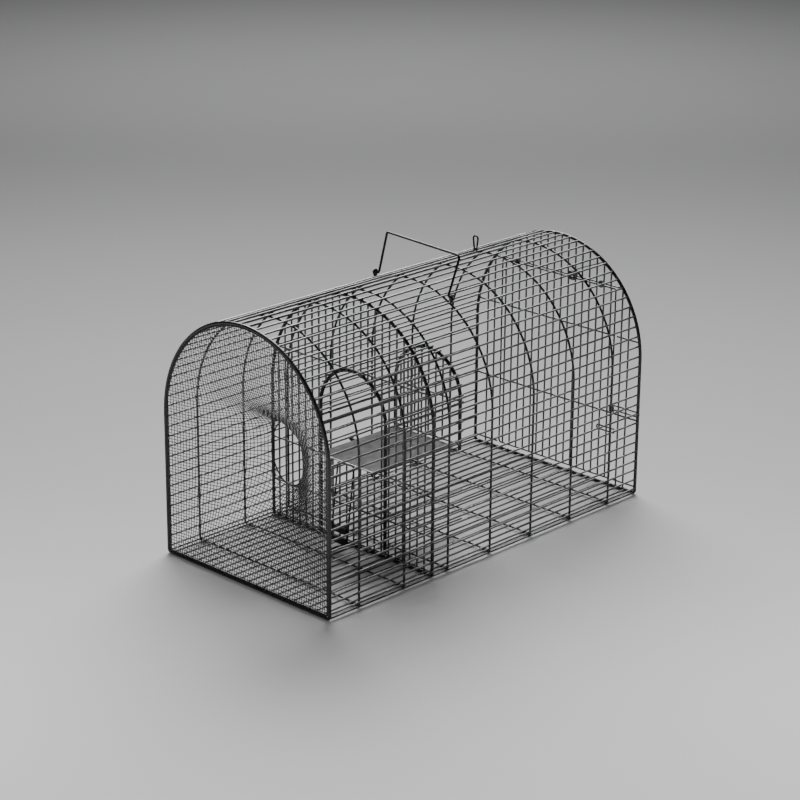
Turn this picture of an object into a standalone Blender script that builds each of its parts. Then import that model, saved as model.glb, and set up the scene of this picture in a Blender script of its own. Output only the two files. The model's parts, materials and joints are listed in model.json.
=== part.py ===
"""Arched wire cage trap with a mesh entry funnel, a tilting plate and a rear door.

Run it in Blender 4.5. Metres, +Z up. The entry is at -Y, the door at +Y, and the cage
stands on its three thick hoops. The outer skin of thin wires lies 0.3 mm outside the
hoops, and everything else stays inside them.
"""
from math import cos, pi, radians, sin, sqrt

import bmesh
import bpy
from mathutils import Matrix, Vector

# Cage
LENGTH = 0.475              # front face to rear face of the hoops
HOOP_EDGE = 0.1195          # outer edge of the hoops inside the skin, from the middle plane
SPRING_Z = 0.156            # height at which the straight sides become the round roof
GAP = 0.0003                # clearance between pieces that touch
THIN = 0.0016               # mesh wires and grille bars
RIB = 0.0024
FRAME = 0.0036              # front, partition and rear hoops
PITCH = 0.011               # spacing of the lengthwise wires
GRID = 0.0102               # spacing of the upright bars
EDGE_Z = 0.0026             # lowest wire of each wall, in the corner with the floor
FIRST_RIB = 0.0435          # from the front face
RIB_PITCH = 0.064
RIB_COUNT = 7
ARC_STEPS = 24              # segments in half a turn of a hoop
CORNER = 0.003              # bend radius at a hoop's feet

FRONT_Y = -LENGTH / 2
REAR_Y = LENGTH / 2 - FRAME / 2
SKIN_R = HOOP_EDGE + GAP + THIN / 2
FRAME_INNER = HOOP_EDGE - FRAME
END_EDGE = HOOP_EDGE + GAP + THIN       # the end hoops reach as far out as the skin does
END_INNER = END_EDGE - FRAME
FLOOR_Z = FRAME + GAP + THIN / 2

# Throat: the arched passage behind the partition
PARTITION_Y = FRONT_Y + 0.149
THROAT_R = 0.0475
THROAT_SPRING = 0.145
THROAT_WIRE = 0.0040
THROAT_END = FRONT_Y + 0.264
THROAT_SKIN = THROAT_R + THROAT_WIRE / 2 + GAP + THIN / 2
SILL_Z = 0.0915             # cross wire under the window in the partition
KNEE_Z = 0.0435             # cross wire lower down

# Tilting plate and its counterweight
PIVOT_Y = -0.034
PIVOT_Z = 0.0908
PIVOT_ROD = 0.0024
PLATE_THICK = 0.0008
PLATE_UNDER = 0.0930
PLATE_LEFT = -0.0445
PLATE_RIGHT = 0.0370
PLATE_FRONT = PARTITION_Y - 0.0045
PLATE_BACK = 0.0225
WEIGHT_Y = -0.1055
WEIGHT_HEIGHTS = (0.0225, 0.0112)
WEIGHT_R = 0.0038
WEIGHT_LENGTH = 0.021

# Entry funnel: fine mesh drawn in from the front hoop to a small hole
FUNNEL_DEPTH = 0.060
FUNNEL_SHEET = 0.0008
FUNNEL_Z = 0.128            # height of the middle of its hole
FOLD_DEPTH = 0.008          # where the flat outer part turns inwards
TUBE_START = 0.044
HOLE = (0.0265, 0.034, 0.036, 1.9, 1.9)     # half width, rise, drop, roundness of each
FOLD = (0.080, 0.063, 0.088, 5.0, 2.2)

# Rear door
RAIL_Z = 0.232
RAIL = 0.0020
DOOR_HALF = 0.0825
DOOR_WIRE = 0.0024
DOOR_TOP = RAIL_Z - 0.0026
DOOR_BOTTOM = 0.0085
CROSS_HEIGHTS = (0.086, 0.176)
CLIP_X = (-6 * GRID, 6 * GRID)
LATCH_WIRE = 0.0018
LATCH_LOW = 0.0890
LATCH_HIGH = 0.0945
LATCH_REACH = 0.1185

# Roof fittings
HANDLE_Y = FRONT_Y + FIRST_RIB + 3 * RIB_PITCH
HANDLE_X = 0.0045           # it sits a little to the right, and lower on that side
HANDLE_TILT = radians(2.3)
HANDLE_HALF = 0.050
HANDLE_SPLAY = 0.002
HANDLE_WIRE = 0.0026
HANDLE_REACH = 0.044
HANDLE_LEAN = radians(17)
HANDLE_AXIS_Z = 0.2683
EYE_WIRE = 0.0020
ROOF_EYE_X = -0.020
ROOF_EYE_Y = FRONT_Y + 0.3578

X = Vector((1, 0, 0))
Y = Vector((0, 1, 0))
Z = Vector((0, 0, 1))


def clear_scene():
    for item in list(bpy.data.objects):
        bpy.data.objects.remove(item, do_unlink=True)


def finish_material(name, colour, roughness, metallic):
    material = bpy.data.materials.new(name)
    material.use_nodes = True
    shader = material.node_tree.nodes["Principled BSDF"]
    shader.inputs["Base Color"].default_value = (*colour, 1)
    shader.inputs["Roughness"].default_value = roughness
    shader.inputs["Metallic"].default_value = metallic
    return material


BLACK = (0.018, 0.018, 0.020)
GREY = (0.16, 0.16, 0.165)
FINISHES = {
    "black_coat": (BLACK, 0.42, 0.0),
    "dark_coat": ((0.030, 0.030, 0.032), 0.38, 0.0),
    "sheet": ((0.10, 0.10, 0.10), 0.45, 0.6),
    "cast": ((0.012, 0.012, 0.012), 0.7, 0.0),
    "bright": (GREY, 0.35, 0.9),
}


def make_object(name, bm, finish, origin=(0, 0, 0)):
    """Turn a bmesh in world coordinates into an object whose origin is at `origin`."""
    bmesh.ops.translate(bm, verts=bm.verts, vec=-Vector(origin))
    bmesh.ops.recalc_face_normals(bm, faces=bm.faces)
    mesh = bpy.data.meshes.new(name)
    bm.to_mesh(mesh)
    bm.free()
    mesh.shade_smooth()
    mesh.set_sharp_from_angle(angle=radians(50))
    mesh.materials.append(finish_material(name, *FINISHES[finish]))
    item = bpy.data.objects.new(name, mesh)
    item.location = origin
    bpy.context.scene.collection.objects.link(item)
    return item


def join_with(item, name, bm):
    """Unite `item` with the shapes in `bm`, which becomes a hidden Boolean operand."""
    operand = make_object(name, bm, "black_coat")
    operand.hide_render = True
    operand.display_type = "WIRE"
    modifier = item.modifiers.new(name, "BOOLEAN")
    modifier.operation = "UNION"
    modifier.solver = "EXACT"
    modifier.object = operand


def same_area(sides):
    """Circumscribed radius of a polygon with the area of a circle of radius 1."""
    return sqrt(2 * pi / (sides * sin(2 * pi / sides)))


def add_wire(bm, points, diameter, normal, closed=False, sides=6):
    """Sweep a wire of few sides along points that lie in a plane with this normal."""
    points = [Vector(point) for point in points]
    count = len(points)
    radius = diameter / 2 * same_area(sides)
    phase = pi / 4 if sides == 4 else 0
    rings = []
    for index, point in enumerate(points):
        before = point - points[index - 1] if closed or index else None
        after = points[(index + 1) % count] - point if closed or index < count - 1 else None
        before = (before or after).normalized()
        after = (after or before).normalized()
        tangent = (before + after).normalized()
        mitre = 1 / max(tangent.dot(before), 0.3)
        side = normal.cross(tangent)
        ring = []
        for step in range(sides):
            angle = phase + 2 * pi * step / sides
            offset = normal * cos(angle) + side * sin(angle) * mitre
            ring.append(bm.verts.new(point + offset * radius))
        rings.append(ring)
    for index in range(count if closed else count - 1):
        low, high = rings[index], rings[(index + 1) % count]
        for step in range(sides):
            after = (step + 1) % sides
            bm.faces.new((low[step], low[after], high[after], high[step]))
    if not closed:
        bm.faces.new(rings[0])
        bm.faces.new(rings[-1])


def add_tube(bm, centre, axis, outer, inner, length, sides=12):
    """A plain sleeve round an axis, centred on `centre`."""
    across = axis.orthogonal().normalized()
    other = axis.cross(across)
    rings = []
    for radius, end in ((outer, -1), (outer, 1), (inner, 1), (inner, -1)):
        ring = []
        for step in range(sides):
            angle = 2 * pi * step / sides
            spoke = (across * cos(angle) + other * sin(angle)) * radius
            ring.append(bm.verts.new(Vector(centre) + spoke + axis * (end * length / 2)))
        rings.append(ring)
    for index in range(4):
        low, high = rings[index], rings[(index + 1) % 4]
        for step in range(sides):
            after = (step + 1) % sides
            bm.faces.new((low[step], low[after], high[after], high[step]))


def add_box(bm, low, high):
    size = Vector(high) - Vector(low)
    middle = (Vector(high) + Vector(low)) / 2
    matrix = Matrix.Translation(middle) @ Matrix.Diagonal((*size, 1))
    bmesh.ops.create_cube(bm, size=1, matrix=matrix)


def arc(centre_x, centre_z, radius, start, end, steps):
    """Points (x, z) round an arc, angles in radians from +X towards +Z."""
    turn = (end - start) / steps
    return [(centre_x + radius * cos(start + turn * step),
             centre_z + radius * sin(start + turn * step)) for step in range(steps + 1)]


def at_y(outline, y):
    return [(x, y, z) for x, z in outline]


def hoop_outline(radius, bottom):
    """Closed arch: a flat bottom with bent corners, straight sides and a round top."""
    inset = radius - CORNER
    outline = arc(inset, bottom + CORNER, CORNER, -pi / 2, 0, 3)
    outline += arc(0, SPRING_Z, radius, 0, pi, ARC_STEPS)
    outline += arc(-inset, bottom + CORNER, CORNER, pi, 3 * pi / 2, 3)
    return outline


def arch_height(x, radius, spring=SPRING_Z):
    return spring + sqrt(radius ** 2 - x ** 2)


def make_hoop(name, y, diameter, bottom, edge=HOOP_EDGE):
    bm = bmesh.new()
    half = diameter / 2 * same_area(6) * cos(pi / 6)
    outline = hoop_outline(edge - half, bottom + half)
    add_wire(bm, at_y(outline, y), diameter, Y, closed=True)
    return make_object(name, bm, "black_coat")


def make_hoops():
    make_hoop("front_frame", FRONT_Y + FRAME / 2, FRAME, 0, END_EDGE)
    make_hoop("partition_frame", PARTITION_Y, FRAME, 0)
    make_hoop("rear_frame", REAR_Y, FRAME, 0, END_EDGE)
    for index in range(RIB_COUNT):
        y = FRONT_Y + FIRST_RIB + index * RIB_PITCH
        make_hoop(f"rib_{index + 1}", y, RIB, FRAME - RIB)


def make_comb(name, spots, bar, start, stop, tied_ends=2):
    """Parallel wires along Y through (x, z, outward normal) spots, tied by end bars."""
    bm = bmesh.new()
    for y in (start + THIN / 2, stop - THIN / 2)[:tied_ends]:
        add_wire(bm, at_y(bar, y), THIN, Y, sides=4)
    comb = make_object(name, bm, "black_coat")
    bm = bmesh.new()
    for x, z, normal in spots:
        ends = ((x, start + THIN / 2, z), (x, stop - THIN / 2, z))
        add_wire(bm, ends, THIN * 0.96, normal, sides=4)
    join_with(comb, f"{name}_wires", bm)
    return comb


def wall_spots(x, first, count):
    return [(x, first + index * PITCH, X) for index in range(count)]


def roof_spots(radius, spring, count):
    spots = []
    for index in range(count):
        angle = pi * (index + 0.5) / count
        outward = Vector((cos(angle), 0, sin(angle)))
        reach = radius * cos(pi / count / 2)
        spots.append((reach * outward.x, spring + reach * outward.z, outward))
    return spots


def make_skin():
    """The thin-wire walls, roof and floor between the front and the rear."""
    first, count = 0.0075, 14
    margin = THIN / 2
    ends = (FRONT_Y + FRAME + GAP, LENGTH / 2 - FRAME - GAP)
    for name, x in (("left_wall_wires", -SKIN_R), ("right_wall_wires", SKIN_R)):
        top = first + (count - 1) * PITCH + margin
        bar = [(x, EDGE_Z - margin), (x, top)]
        spots = [(x, EDGE_Z, X)] + wall_spots(x, first, count)
        make_comb(name, spots, bar, *ends, tied_ends=1)
    wires = 34
    lift = radians(0.8)
    bar = arc(0, SPRING_Z, SKIN_R, lift, pi - lift, wires)
    make_comb("roof_wires", roof_spots(SKIN_R, SPRING_Z, wires), bar, *ends)
    inset = FRAME + GAP + 0.001
    reach = 10 * PITCH
    bar = [(-reach - margin, FLOOR_Z), (reach + margin, FLOOR_Z)]
    spots = [(index * PITCH, FLOOR_Z, Z) for index in range(-10, 11)]
    make_comb("floor_wires", spots, bar, FRONT_Y + inset, LENGTH / 2 - inset)


def make_grille(name, y, bars, cross_wires, finish="black_coat"):
    """Vertical bars (x, low, high) united with cross wires (z, left, right)."""
    bm = bmesh.new()
    for z, left, right in cross_wires:
        add_wire(bm, ((left, y, z), (right, y, z)), THIN, Y, sides=4)
    grille = make_object(name, bm, finish)
    bm = bmesh.new()
    for x, low, high in bars:
        add_wire(bm, ((x, y, low), (x, y, high)), THIN * 0.96, Y, sides=4)
    join_with(grille, f"{name}_bars", bm)
    return grille


def bar_places(first, last):
    """Both sides' bar positions, half a pitch off the middle, from first to last."""
    places = []
    for index in range(first, last + 1):
        x = (index + 0.5) * GRID
        places += [-x, x]
    return places


def under_hoop(x, inner=FRAME_INNER):
    """Highest a thin bar at x can reach inside a thick hoop."""
    return arch_height(abs(x) + THIN / 2, inner - GAP - 0.0006) - THIN / 2


def across_hoop(z, inner=FRAME_INNER):
    """Half length of a cross wire at height z inside a thick hoop."""
    rise = max(z + THIN / 2 - SPRING_Z, 0)
    return sqrt((inner - GAP - 0.0006) ** 2 - rise ** 2)


def make_partition():
    low = FLOOR_Z + THIN + GAP
    foot = low - THIN / 2
    window_top = 0.195
    bars = [(x, foot, under_hoop(x)) for x in bar_places(4, 10)]
    for x in bar_places(0, 3):
        bars.append((x, foot, SILL_Z + THIN / 2))
        bars.append((x, arch_height(x, THROAT_R, THROAT_SPRING), under_hoop(x)))
    cross_wires = [(z, -across_hoop(z), across_hoop(z))
                   for z in (low, KNEE_Z, SILL_Z, window_top)]
    make_grille("partition_grille", PARTITION_Y, bars, cross_wires)


def throat_arch(y, name, foot):
    bm = bmesh.new()
    outline = [(THROAT_R, foot)]
    outline += arc(0, THROAT_SPRING, THROAT_R, 0, pi, 16)
    outline += [(-THROAT_R, foot)]
    add_wire(bm, at_y(outline, y), THROAT_WIRE, Y)
    return make_object(name, bm, "black_coat")


def make_throat():
    front = PARTITION_Y + THIN / 2 + GAP + THROAT_WIRE / 2
    throat_arch(front, "throat_front_arch", FRAME + GAP)
    throat_arch(THROAT_END, "throat_rear_arch", 0.088)
    start = PARTITION_Y + THIN / 2 + GAP
    stop = THROAT_END + THROAT_WIRE / 2
    first, count = 0.0115, 13
    margin = THIN / 2
    for name, x in (("throat_left_wires", -THROAT_SKIN), ("throat_right_wires", THROAT_SKIN)):
        bar = [(x, first - margin), (x, first + (count - 1) * PITCH + margin)]
        make_comb(name, wall_spots(x, first, count), bar, start, stop)
    wires = 14
    lift = radians(1.8)
    bar = arc(0, THROAT_SPRING, THROAT_SKIN, lift, pi - lift, wires)
    spots = roof_spots(THROAT_SKIN, THROAT_SPRING, wires)
    make_comb("throat_roof_wires", spots, bar, start, stop)
    y = THROAT_END - THROAT_WIRE / 2 - GAP - THIN / 2
    low = PLATE_UNDER + PLATE_THICK + 0.0027
    bars = [(x, low - THIN / 2, arch_height(x, THROAT_R, THROAT_SPRING))
            for x in bar_places(0, 3)]
    half = THROAT_R + THROAT_WIRE / 2
    cross_wires = [(z, -half, half) for z in (low, THROAT_SPRING)]
    make_grille("throat_rear_grille", y, bars, cross_wires)


def make_tilt_plate():
    """The plate that drops at the back, on a rod, with a weight hung from its front."""
    pivot = (0, PIVOT_Y, PIVOT_Z)
    bm = bmesh.new()
    half = THROAT_SKIN + 0.006
    add_wire(bm, ((-half, PIVOT_Y, PIVOT_Z), (half, PIVOT_Y, PIVOT_Z)), PIVOT_ROD, Z, sides=8)
    make_object("pivot_rod", bm, "bright")

    bm = bmesh.new()
    add_box(bm, (PLATE_LEFT, PLATE_FRONT, PLATE_UNDER),
            (PLATE_RIGHT, PLATE_BACK, PLATE_UNDER + PLATE_THICK))
    plate = make_object("tilt_plate", bm, "sheet", pivot)
    bm = bmesh.new()
    bore = PIVOT_ROD / 2 + GAP
    for x in (-0.030, 0.026):
        add_tube(bm, (x, PIVOT_Y, PIVOT_Z), X, 0.0025, bore, 0.008)
    join_with(plate, "plate_lugs", bm)
    bm = bmesh.new()
    lip = 0.0007
    add_wire(bm, ((PLATE_LEFT, PLATE_FRONT, PLATE_UNDER + PLATE_THICK / 2),
                  (PLATE_RIGHT, PLATE_FRONT, PLATE_UNDER + PLATE_THICK / 2)), 2 * lip, Z, sides=8)
    join_with(plate, "plate_lip", bm)

    wire = 0.0020
    half = WEIGHT_LENGTH / 2 + GAP + wire / 2
    top = (PLATE_FRONT - lip - GAP - wire / 2, PLATE_UNDER + PLATE_THICK / 2)
    low = (WEIGHT_Y, WEIGHT_HEIGHTS[1])
    plane = Vector((0, low[1] - top[1], top[0] - low[0])).normalized()
    bm = bmesh.new()
    add_wire(bm, ((-half, *top), (-half, *low), (half, *low), (half, *top)), wire, plane,
             closed=True)
    arm = make_object("counterweight_arm", bm, "black_coat", pivot)
    share = (WEIGHT_HEIGHTS[0] - low[1]) / (top[1] - low[1])
    rung_y = low[0] + (top[0] - low[0]) * share
    bm = bmesh.new()
    add_wire(bm, ((-half, rung_y, WEIGHT_HEIGHTS[0]), (half, rung_y, WEIGHT_HEIGHTS[0])),
             wire * 0.98, Z)
    join_with(arm, "arm_rung", bm)
    names = ("counterweight_upper", "counterweight_lower")
    for name, y, z in zip(names, (rung_y, low[0]), WEIGHT_HEIGHTS):
        bm = bmesh.new()
        add_tube(bm, (0, y, z), X, WEIGHT_R, wire / 2 + GAP, WEIGHT_LENGTH)
        make_object(name, bm, "cast", pivot)


def arch_loop(half, bottom, spring, flat=7, round_top=20):
    """Closed arch outline: bottom, right side, round top, left side."""
    side = (spring - bottom) / flat
    outline = [(-half + 2 * half * step / flat, bottom) for step in range(flat)]
    outline += [(half, bottom + side * step) for step in range(flat)]
    outline += arc(0, spring, half, 0, pi, round_top)
    outline += [(-half, spring - side * step) for step in range(1, flat)]
    return outline


def egg_reach(across, rise, half, up, down, round_up, round_down):
    """How far an egg-shaped outline is from its middle in a unit direction."""
    tall, power = (up, round_up) if rise >= 0 else (down, round_down)
    return (abs(across / half) ** power + abs(rise / tall) ** power) ** (-1 / power)


def funnel_section(mouth, fold, hole, share):
    """Distance from the axis and depth, along a smooth curve that is drawn to the fold."""
    rest = 1 - share
    weights = (rest ** 4, 4 * rest ** 3 * share + 6 * rest ** 2 * share ** 2,
               4 * rest * share ** 3, share ** 4)
    reaches = (mouth, fold, hole + 0.002, hole)
    depths = (0, FOLD_DEPTH, TUBE_START, FUNNEL_DEPTH)
    return (sum(w * r for w, r in zip(weights, reaches)),
            sum(w * d for w, d in zip(weights, depths)))


def make_funnel():
    deep = 12
    start_y = FRONT_Y + FRAME / 2
    inset = 0.0014
    spokes = []
    for x, z in arch_loop(END_INNER - inset, FRAME + inset, SPRING_Z):
        mouth = sqrt(x ** 2 + (z - FUNNEL_Z) ** 2)
        spokes.append((x / mouth, (z - FUNNEL_Z) / mouth, mouth))
    around = len(spokes)
    bm = bmesh.new()
    loops = []
    for layer in (0, 1):
        levels = range(deep + 1) if layer == 0 else range(deep, -1, -1)
        for level in levels:
            share = level / deep
            ring = []
            for across, rise, mouth in spokes:
                fold = egg_reach(across, rise, *FOLD)
                hole = egg_reach(across, rise, *HOLE)
                reach, depth = funnel_section(mouth, fold, hole, share)
                reach += layer * FUNNEL_SHEET * share
                depth += layer * FUNNEL_SHEET * (1 - share)
                ring.append(bm.verts.new((reach * across, start_y + depth,
                                          FUNNEL_Z + reach * rise)))
            loops.append(ring)
    for low, high in zip(loops, loops[1:] + loops[:1]):
        for index in range(around):
            after = (index + 1) % around
            bm.faces.new((low[index], low[after], high[after], high[index]))
    make_object("entry_funnel", bm, "black_coat")

    ring_wire = 0.0020
    y = start_y + FUNNEL_DEPTH + GAP + ring_wire / 2 * same_area(6)
    rim = []
    steps = 28
    for step in range(steps):
        across, rise = cos(2 * pi * step / steps), sin(2 * pi * step / steps)
        reach = egg_reach(across, rise, *HOLE)
        rim.append((reach * across, FUNNEL_Z + reach * rise))
    bm = bmesh.new()
    add_wire(bm, at_y(rim, y), ring_wire, Y, closed=True)
    make_object("funnel_rim", bm, "black_coat")


def make_rear_wall():
    """The fixed cap and side strips round the door."""
    foot = FRAME + GAP
    rail_half = across_hoop(RAIL_Z + RAIL / 2 - THIN / 2, END_INNER) - 0.0005
    bm = bmesh.new()
    add_wire(bm, ((-rail_half, REAR_Y, RAIL_Z), (rail_half, REAR_Y, RAIL_Z)), RAIL, Z, sides=8)
    cap = make_object("rear_cap_grille", bm, "black_coat")
    bm = bmesh.new()
    for x in bar_places(0, 7):
        top = under_hoop(x, END_INNER)
        add_wire(bm, ((x, REAR_Y, RAIL_Z), (x, REAR_Y, top)), THIN * 0.96, Y, sides=4)
    join_with(cap, "rear_cap_bars", bm)
    inner = DOOR_HALF + DOOR_WIRE / 2 + 0.0022
    for name, side in (("rear_left_grille", -1), ("rear_right_grille", 1)):
        bars = [(side * x, foot, under_hoop(x, END_INNER))
                for x in (DOOR_HALF + 0.0103, DOOR_HALF + 0.0205)]
        cross_wires = []
        for z in (DOOR_BOTTOM, *CROSS_HEIGHTS):
            ends = sorted((side * inner, side * across_hoop(z, END_INNER)))
            cross_wires.append((z, *ends))
        make_grille(name, REAR_Y, bars, cross_wires)


def make_door():
    """The rear door, hung on the rail above it, with its clips, latch and pull."""
    pivot = (0, REAR_Y, RAIL_Z)
    corners = ((DOOR_HALF, DOOR_BOTTOM), (DOOR_HALF, DOOR_TOP),
               (-DOOR_HALF, DOOR_TOP), (-DOOR_HALF, DOOR_BOTTOM))
    bm = bmesh.new()
    add_wire(bm, at_y(corners, REAR_Y), DOOR_WIRE, Y, closed=True)
    door = make_object("rear_door", bm, "black_coat", pivot)
    bm = bmesh.new()
    for x in bar_places(0, 7):
        add_wire(bm, ((x, REAR_Y, DOOR_BOTTOM), (x, REAR_Y, DOOR_TOP)), THIN, Y, sides=4)
    join_with(door, "door_bars", bm)
    bm = bmesh.new()
    for z in CROSS_HEIGHTS:
        add_wire(bm, ((-DOOR_HALF, REAR_Y, z), (DOOR_HALF, REAR_Y, z)), THIN * 0.96, Y, sides=4)
    join_with(door, "door_cross_wires", bm)

    half = DOOR_WIRE / 2 + GAP + THIN / 2
    for name, x in zip(("door_clip_left", "door_clip_right"), CLIP_X):
        loop = arc(0, RAIL_Z, half, 0, pi, 5) + arc(0, DOOR_TOP, half, pi, 2 * pi, 5)
        bm = bmesh.new()
        add_wire(bm, [(x, REAR_Y + across, z) for across, z in loop], THIN, X, closed=True)
        make_object(name, bm, "bright", pivot)

    make_latch()
    make_door_pull(pivot)
    make_door_spring()


def make_latch():
    """A hairpin of wire on a sleeve round the door's right stile, its bend on the hoop."""
    low = CROSS_HEIGHTS[0] + THIN / 2 + GAP
    high = LATCH_HIGH + LATCH_WIRE
    bore = DOOR_WIRE / 2 + GAP
    outer = bore + 0.0011
    bm = bmesh.new()
    add_tube(bm, (DOOR_HALF, REAR_Y, (low + high) / 2), Z, outer, bore, high - low)
    latch = make_object("door_latch", bm, "dark_coat", (DOOR_HALF, REAR_Y, 0))
    y = REAR_Y + DOOR_WIRE / 2 + 0.0023
    middle = (LATCH_LOW + LATCH_HIGH) / 2
    bend = (LATCH_HIGH - LATCH_LOW) / 2
    root = (DOOR_HALF, y - 0.0008)
    elbow = (DOOR_HALF + 0.004, y)
    outline = [(*root, LATCH_LOW), (*elbow, LATCH_LOW)]
    outline += at_y(arc(LATCH_REACH - bend, middle, bend, -pi / 2, pi / 2, 6), y)
    outline += [(*elbow, LATCH_HIGH), (*root, LATCH_HIGH)]
    bm = bmesh.new()
    add_wire(bm, outline, LATCH_WIRE, Y)
    join_with(latch, "latch_hairpin", bm)


def make_door_pull(pivot):
    y = REAR_Y + DOOR_WIRE / 2 + GAP + LATCH_WIRE / 2
    bend = 0.0023
    outline = [(DOOR_HALF + 0.003, 0.0647 - bend)]
    outline += arc(0.0605 + bend, 0.0647, bend, 3 * pi / 2, pi / 2, 6)
    outline += [(DOOR_HALF + 0.003, 0.0647 + bend)]
    bm = bmesh.new()
    add_wire(bm, at_y(outline, y), LATCH_WIRE, Y)
    make_object("door_pull", bm, "dark_coat", pivot)


def make_door_spring():
    """A torsion spring wound round the rail, with its long leg on the rear hoop."""
    wire, coil, turns, steps = 0.0012, 0.0048, 4, 8
    start_x, length = 0.0176, 0.0054
    points = []
    for step in range(turns * steps + 3):
        angle = 2 * pi * step / steps
        points.append((start_x + length * step / (turns * steps),
                       REAR_Y + coil * cos(angle), RAIL_Z + coil * sin(angle)))
    end_x = points[-1][0]
    outside = REAR_Y + FRAME / 2 + GAP + wire / 2 + 0.0004
    points.append((end_x + 0.0006, REAR_Y + 0.0022, RAIL_Z + 0.0068))
    points.append((end_x + 0.0040, outside, RAIL_Z + 0.0085))
    points.append((0.0650, outside, arch_height(0.0650, END_EDGE - FRAME / 2)))
    curve = bpy.data.curves.new("door_spring", "CURVE")
    curve.dimensions = "3D"
    curve.bevel_depth = wire / 2
    curve.bevel_resolution = 1
    curve.use_fill_caps = True
    spline = curve.splines.new("POLY")
    spline.points.add(len(points) - 1)
    for target, point in zip(spline.points, points):
        target.co = (*point, 1)
    curve.materials.append(finish_material("door_spring", *FINISHES["bright"]))
    item = bpy.data.objects.new("door_spring", curve)
    bpy.context.scene.collection.objects.link(item)


def make_handle():
    """The bail, leaning back at rest, and the two eyes that it turns in."""
    axis = Vector((HANDLE_X, HANDLE_Y, HANDLE_AXIS_Z))
    along = Vector((cos(HANDLE_TILT), 0, -sin(HANDLE_TILT)))
    up = Y * sin(HANDLE_LEAN) + Vector((sin(HANDLE_TILT), 0, cos(HANDLE_TILT))) * cos(HANDLE_LEAN)
    plane = up.cross(along)
    bend, pin = 0.005, 0.008
    corner = HANDLE_HALF + HANDLE_SPLAY - bend
    path = [(HANDLE_HALF + pin, 0), (HANDLE_HALF, 0)]
    path += arc(corner, HANDLE_REACH - bend, bend, 0, pi / 2, 4)
    path += arc(-corner, HANDLE_REACH - bend, bend, pi / 2, pi, 4)
    path += [(-HANDLE_HALF, 0), (-HANDLE_HALF - pin, 0)]
    bm = bmesh.new()
    add_wire(bm, [axis + along * x + up * rise for x, rise in path], HANDLE_WIRE, plane)
    make_object("carry_handle", bm, "dark_coat", axis)
    radius = HANDLE_WIRE / 2 + GAP + EYE_WIRE / 2
    for name, side in (("handle_eye_left", -1), ("handle_eye_right", 1)):
        centre = axis + along * side * (HANDLE_HALF + pin / 2 + 0.0010)
        loop = arc(centre.y, centre.z, radius + 0.0002, 0, 2 * pi, 10)[:-1]
        bm = bmesh.new()
        add_wire(bm, [(centre.x, y, z) for y, z in loop], EYE_WIRE, X, closed=True)
        make_object(name, bm, "black_coat")


def make_roof_eye():
    """A tall loop of wire standing beside the crest."""
    half, top = 0.0034, 0.2917
    roof = sqrt((SKIN_R + THIN / 2) ** 2 - ROOF_EYE_X ** 2)
    foot = SPRING_Z + roof + GAP + 0.0001 + EYE_WIRE / 2
    loop = (arc(ROOF_EYE_X, foot + half, half, pi, 2 * pi, 6)
            + arc(ROOF_EYE_X, top - half, half, 0, pi, 6))
    bm = bmesh.new()
    add_wire(bm, at_y(loop, ROOF_EYE_Y), EYE_WIRE, Y, closed=True)
    make_object("roof_eye", bm, "dark_coat")


def main():
    clear_scene()
    make_hoops()
    make_skin()
    make_partition()
    make_throat()
    make_tilt_plate()
    make_funnel()
    make_rear_wall()
    make_door()
    make_handle()
    make_roof_eye()


main()
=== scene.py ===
"""Looks of an arched wire rodent trap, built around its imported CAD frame.

Every CAD node is replaced by round wire, woven mesh or formed sheet in the same place.
Metres, +Z up, the entry at -Y. Places come from the frame's own boxes.
"""
import json
from math import atan2, cos, pi, radians, sin, sqrt

import bmesh
import bpy
import numpy as np
from mathutils import Matrix, Vector, noise

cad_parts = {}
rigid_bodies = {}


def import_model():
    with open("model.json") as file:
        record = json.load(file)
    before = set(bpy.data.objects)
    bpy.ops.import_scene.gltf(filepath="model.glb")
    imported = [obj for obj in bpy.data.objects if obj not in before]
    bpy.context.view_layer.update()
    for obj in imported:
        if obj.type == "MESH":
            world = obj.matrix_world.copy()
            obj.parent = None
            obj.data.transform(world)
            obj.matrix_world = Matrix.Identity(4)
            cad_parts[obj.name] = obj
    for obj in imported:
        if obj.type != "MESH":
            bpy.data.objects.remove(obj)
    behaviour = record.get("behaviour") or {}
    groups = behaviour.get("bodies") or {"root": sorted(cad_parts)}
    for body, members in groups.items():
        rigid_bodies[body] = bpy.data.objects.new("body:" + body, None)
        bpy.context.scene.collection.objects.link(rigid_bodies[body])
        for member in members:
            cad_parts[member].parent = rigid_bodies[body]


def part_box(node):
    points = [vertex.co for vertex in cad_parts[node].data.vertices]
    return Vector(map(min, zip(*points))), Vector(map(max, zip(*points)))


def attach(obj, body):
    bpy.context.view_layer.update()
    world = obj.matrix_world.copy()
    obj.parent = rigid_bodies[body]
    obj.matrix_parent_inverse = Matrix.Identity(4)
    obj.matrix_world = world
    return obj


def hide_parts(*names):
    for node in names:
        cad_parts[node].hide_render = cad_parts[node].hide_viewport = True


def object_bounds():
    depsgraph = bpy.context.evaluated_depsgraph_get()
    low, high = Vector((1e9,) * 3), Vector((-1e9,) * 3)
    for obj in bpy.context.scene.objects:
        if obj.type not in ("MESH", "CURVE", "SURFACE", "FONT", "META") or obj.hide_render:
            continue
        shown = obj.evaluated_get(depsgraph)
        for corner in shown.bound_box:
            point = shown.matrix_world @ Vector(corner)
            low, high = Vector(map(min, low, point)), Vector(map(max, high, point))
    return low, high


# Camera, from the viewing angle
CAMERA_AT = (1.668, -1.741, 1.002)
CAMERA_YAW = radians(44.03)         # turned from +Y towards -X
CAMERA_PITCH = radians(19.68)       # looking down
CAMERA_ROLL = radians(0.42)
LENS_MM = 109.14
SENSOR_MM = 36.0

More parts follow.
